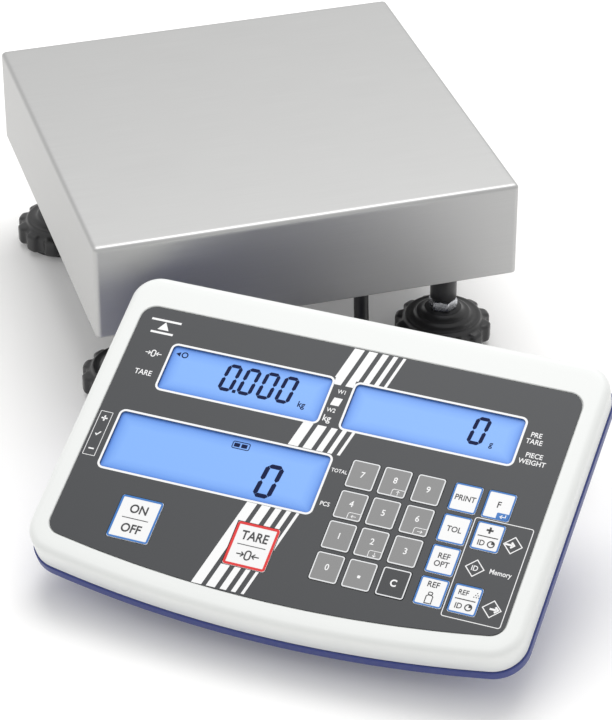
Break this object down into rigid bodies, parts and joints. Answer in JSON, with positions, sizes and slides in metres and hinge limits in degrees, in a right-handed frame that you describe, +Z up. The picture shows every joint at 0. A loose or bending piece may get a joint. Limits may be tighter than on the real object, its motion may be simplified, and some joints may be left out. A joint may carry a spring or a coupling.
{
  "type": "counting scale",
  "caption": "Bench counting scale: a square steel weighing plate on a low platform with screw feet, wired to a sloping keypad display unit with blue LCD windows.",
  "frame": {"origin": "on the bench, under the middle of the box round the platform and the display unit", "axes": "+Z up; +Y towards the back of the weighing platform, away from the display unit; +X to the platform's right, seen from the front"},
  "size_m": [0.2937, 0.5076, 0.11],
  "materials": {
    "plate_steel": "brushed stainless sheet, grain from left to right",
    "carrier_grey": "cast aluminium, as cast",
    "cell_aluminium": "machined aluminium",
    "zinc_steel": "zinc-plated steel",
    "base_black": "black powder coat",
    "level_green": "clear vial with green fluid",
    "lead_grey": "matt cable jacket",
    "black_rubber": "matt moulded rubber",
    "black_plastic": "moulded black plastic",
    "shell_white": "fine-textured off-white moulding",
    "shell_blue": "fine-textured blue moulding",
    "foil_grey": "dark grey printed foil",
    "key_grey": "grey printed key with a light outline",
    "key_white": "white printed key with a coloured outline",
    "lcd_blue": "backlit blue liquid crystal display",
    "board_green": "circuit board",
    "battery_wrap": "shrink wrap",
    "cable_black": "black cable jacket"
  },
  "bodies": {
    "platform": {"carrier_frame": "carrier_grey", "load_cell": "cell_aluminium", "cell_spacer_lower": "zinc_steel", "cell_spacer_upper": "zinc_steel", "base_frame": "base_black", "bubble_level": "level_green", "cell_lead": "lead_grey", "cable_gland": "black_rubber", "top_shell": "shell_white", "bottom_shell": "shell_blue", "keypad_foil": "foil_grey", "lcd_weight": "lcd_blue", "lcd_piece_weight": "lcd_blue", "lcd_quantity": "lcd_blue", "keypad_board": "board_green", "main_board": "board_green", "battery_pack": "battery_wrap", "display_foot_left": "black_rubber", "display_foot_right": "black_rubber", "power_jack": "black_plastic", "serial_port": "zinc_steel", "cable_bushing": "black_rubber", "cable_to_coil": "cable_black", "cable_from_coil": "cable_black", "cable_coil": "cable_black"},
    "load_plate": {"load_plate": "plate_steel"},
    "foot_fl_sleeve": {"foot_sleeve_fl": "black_plastic"},
    "foot_fl_screw": {"foot_disc_fl": "black_plastic", "foot_stud_fl": "zinc_steel"},
    "foot_fr_sleeve": {"foot_sleeve_fr": "black_plastic"},
    "foot_fr_screw": {"foot_disc_fr": "black_plastic", "foot_stud_fr": "zinc_steel"},
    "foot_bl_sleeve": {"foot_sleeve_bl": "black_plastic"},
    "foot_bl_screw": {"foot_disc_bl": "black_plastic", "foot_stud_bl": "zinc_steel"},
    "foot_br_sleeve": {"foot_sleeve_br": "black_plastic"},
    "foot_br_screw": {"foot_disc_br": "black_plastic", "foot_stud_br": "zinc_steel"},
    "key_7": {"key_7": "key_grey"},
    "key_8": {"key_8": "key_grey"},
    "key_9": {"key_9": "key_grey"},
    "key_4": {"key_4": "key_grey"},
    "key_5": {"key_5": "key_grey"},
    "key_6": {"key_6": "key_grey"},
    "key_1": {"key_1": "key_grey"},
    "key_2": {"key_2": "key_grey"},
    "key_3": {"key_3": "key_grey"},
    "key_0": {"key_0": "key_grey"},
    "key_point": {"key_point": "key_grey"},
    "key_clear": {"key_clear": "foil_grey"},
    "key_print": {"key_print": "key_white"},
    "key_tolerance": {"key_tolerance": "key_white"},
    "key_ref_optimise": {"key_ref_optimise": "key_white"},
    "key_ref_weight": {"key_ref_weight": "key_white"},
    "key_function": {"key_function": "key_white"},
    "key_id_plus": {"key_id_plus": "key_white"},
    "key_id_ref": {"key_id_ref": "key_white"},
    "key_on_off": {"key_on_off": "key_white"},
    "key_tare": {"key_tare": "key_white"}
  },
  "joints": [
    {"name": "plate_lift", "type": "slide", "parent": "platform", "child": "load_plate", "axis": [0, 0, 1], "range_m": [0, 0.06]},
    {"name": "foot_fl_height", "type": "slide", "parent": "platform", "child": "foot_fl_sleeve", "axis": [0, 0, 1], "range_m": [-0.002, 0.006]},
    {"name": "foot_fl_turn", "type": "hinge", "parent": "foot_fl_sleeve", "child": "foot_fl_screw", "pos_m": [-0.0584, 0.0568, 0], "axis": [0, 0, 1], "range_deg": [-481, 1441]},
    {"name": "foot_fr_height", "type": "slide", "parent": "platform", "child": "foot_fr_sleeve", "axis": [0, 0, 1], "range_m": [-0.002, 0.006]},
    {"name": "foot_fr_turn", "type": "hinge", "parent": "foot_fr_sleeve", "child": "foot_fr_screw", "pos_m": [0.1176, 0.0568, 0], "axis": [0, 0, 1], "range_deg": [-481, 1441]},
    {"name": "foot_bl_height", "type": "slide", "parent": "platform", "child": "foot_bl_sleeve", "axis": [0, 0, 1], "range_m": [-0.002, 0.006]},
    {"name": "foot_bl_turn", "type": "hinge", "parent": "foot_bl_sleeve", "child": "foot_bl_screw", "pos_m": [-0.0584, 0.2208, 0], "axis": [0, 0, 1], "range_deg": [-481, 1441]},
    {"name": "foot_br_height", "type": "slide", "parent": "platform", "child": "foot_br_sleeve", "axis": [0, 0, 1], "range_m": [-0.002, 0.006]},
    {"name": "foot_br_turn", "type": "hinge", "parent": "foot_br_sleeve", "child": "foot_br_screw", "pos_m": [0.1176, 0.2208, 0], "axis": [0, 0, 1], "range_deg": [-481, 1441]},
    {"name": "key_7_press", "type": "slide", "parent": "platform", "child": "key_7", "axis": [0.2498, 0.321, -0.9135], "range_m": [0, 0.0004], "stiffness_N_per_m": 4000},
    {"name": "key_8_press", "type": "slide", "parent": "platform", "child": "key_8", "axis": [0.2498, 0.321, -0.9135], "range_m": [0, 0.0004], "stiffness_N_per_m": 4000},
    {"name": "key_9_press", "type": "slide", "parent": "platform", "child": "key_9", "axis": [0.2498, 0.321, -0.9135], "range_m": [0, 0.0004], "stiffness_N_per_m": 4000},
    {"name": "key_4_press", "type": "slide", "parent": "platform", "child": "key_4", "axis": [0.2498, 0.321, -0.9135], "range_m": [0, 0.0004], "stiffness_N_per_m": 4000},
    {"name": "key_5_press", "type": "slide", "parent": "platform", "child": "key_5", "axis": [0.2498, 0.321, -0.9135], "range_m": [0, 0.0004], "stiffness_N_per_m": 4000},
    {"name": "key_6_press", "type": "slide", "parent": "platform", "child": "key_6", "axis": [0.2498, 0.321, -0.9135], "range_m": [0, 0.0004], "stiffness_N_per_m": 4000},
    {"name": "key_1_press", "type": "slide", "parent": "platform", "child": "key_1", "axis": [0.2498, 0.321, -0.9135], "range_m": [0, 0.0004], "stiffness_N_per_m": 4000},
    {"name": "key_2_press", "type": "slide", "parent": "platform", "child": "key_2", "axis": [0.2498, 0.321, -0.9135], "range_m": [0, 0.0004], "stiffness_N_per_m": 4000},
    {"name": "key_3_press", "type": "slide", "parent": "platform", "child": "key_3", "axis": [0.2498, 0.321, -0.9135], "range_m": [0, 0.0004], "stiffness_N_per_m": 4000},
    {"name": "key_0_press", "type": "slide", "parent": "platform", "child": "key_0", "axis": [0.2498, 0.321, -0.9135], "range_m": [0, 0.0004], "stiffness_N_per_m": 4000},
    {"name": "key_point_press", "type": "slide", "parent": "platform", "child": "key_point", "axis": [0.2498, 0.321, -0.9135], "range_m": [0, 0.0004], "stiffness_N_per_m": 4000},
    {"name": "key_clear_press", "type": "slide", "parent": "platform", "child": "key_clear", "axis": [0.2498, 0.321, -0.9135], "range_m": [0, 0.0004], "stiffness_N_per_m": 4000},
    {"name": "key_print_press", "type": "slide", "parent": "platform", "child": "key_print", "axis": [0.2498, 0.321, -0.9135], "range_m": [0, 0.0004], "stiffness_N_per_m": 4000},
    {"name": "key_tolerance_press", "type": "slide", "parent": "platform", "child": "key_tolerance", "axis": [0.2498, 0.321, -0.9135], "range_m": [0, 0.0004], "stiffness_N_per_m": 4000},
    {"name": "key_ref_optimise_press", "type": "slide", "parent": "platform", "child": "key_ref_optimise", "axis": [0.2498, 0.321, -0.9135], "range_m": [0, 0.0004], "stiffness_N_per_m": 4000},
    {"name": "key_ref_weight_press", "type": "slide", "parent": "platform", "child": "key_ref_weight", "axis": [0.2498, 0.321, -0.9135], "range_m": [0, 0.0004], "stiffness_N_per_m": 4000},
    {"name": "key_function_press", "type": "slide", "parent": "platform", "child": "key_function", "axis": [0.2498, 0.321, -0.9135], "range_m": [0, 0.0004], "stiffness_N_per_m": 4000},
    {"name": "key_id_plus_press", "type": "slide", "parent": "platform", "child": "key_id_plus", "axis": [0.2498, 0.321, -0.9135], "range_m": [0, 0.0004], "stiffness_N_per_m": 4000},
    {"name": "key_id_ref_press", "type": "slide", "parent": "platform", "child": "key_id_ref", "axis": [0.2498, 0.321, -0.9135], "range_m": [0, 0.0004], "stiffness_N_per_m": 4000},
    {"name": "key_on_off_press", "type": "slide", "parent": "platform", "child": "key_on_off", "axis": [0.2498, 0.321, -0.9135], "range_m": [0, 0.0004], "stiffness_N_per_m": 4000},
    {"name": "key_tare_press", "type": "slide", "parent": "platform", "child": "key_tare", "axis": [0.2498, 0.321, -0.9135], "range_m": [0, 0.0004], "stiffness_N_per_m": 4000}
  ],
  "couplings": [
    {"joint": "foot_fl_turn", "follows": "foot_fl_height", "rad_per_m": 4188.8},
    {"joint": "foot_fr_turn", "follows": "foot_fr_height", "rad_per_m": 4188.8},
    {"joint": "foot_bl_turn", "follows": "foot_bl_height", "rad_per_m": 4188.8},
    {"joint": "foot_br_turn", "follows": "foot_br_height", "rad_per_m": 4188.8}
  ]
}
